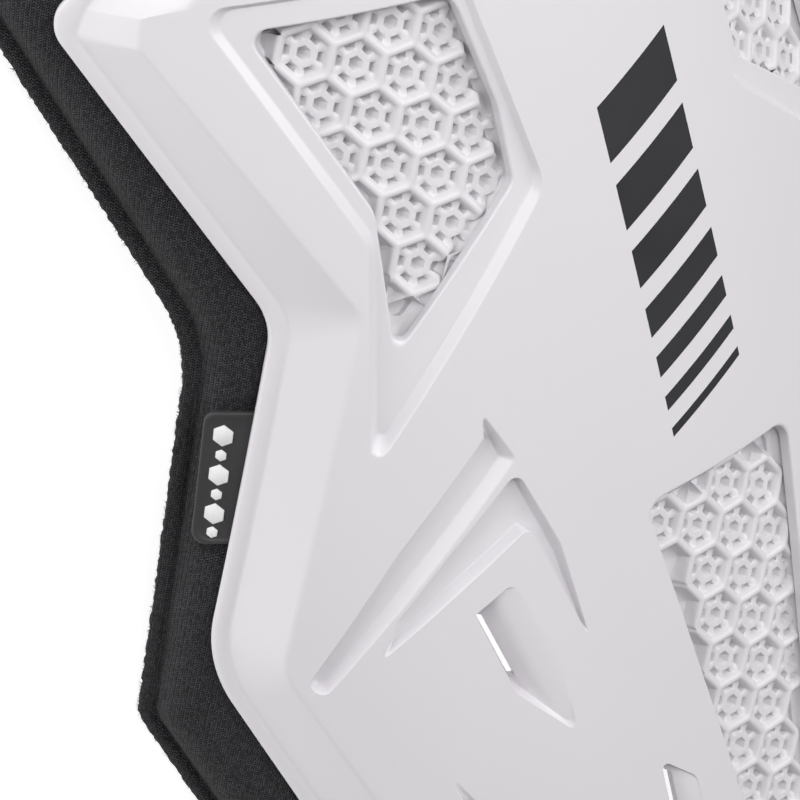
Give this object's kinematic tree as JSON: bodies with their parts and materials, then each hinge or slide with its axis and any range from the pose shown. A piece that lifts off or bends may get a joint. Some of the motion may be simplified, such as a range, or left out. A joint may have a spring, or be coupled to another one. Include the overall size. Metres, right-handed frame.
{
  "type": "motocross chest protector front plate",
  "caption": "Curved moulded chest plate with honeycomb vents, grooves and louvres over a black knit-covered foam pad frame; it shields a rider's chest from stones and knocks.",
  "frame": {"origin": "centre of the bounding box's bottom: the floor that the plate lies on, front up", "axes": "+Z out of the front of the chest, +Y to the wearer's head, +X to the viewer's right when facing the front"},
  "size_m": [0.2542, 0.385, 0.0895],
  "materials": {
    "moulded_shell": "semi-gloss white injection-moulded plastic",
    "moulded_grille": "satin white injection-moulded plastic",
    "knit_pad": "black polyester knit over foam",
    "rubber_tag": "matt dark grey soft rubber"
  },
  "bodies": {
    "root": {"chest_shell": "moulded_shell", "vent_grille_left": "moulded_grille", "vent_grille_right": "moulded_grille", "vent_grille_centre": "moulded_grille", "foam_pad": "knit_pad", "rubber_tag": "rubber_tag"}
  },
  "joints": []
}
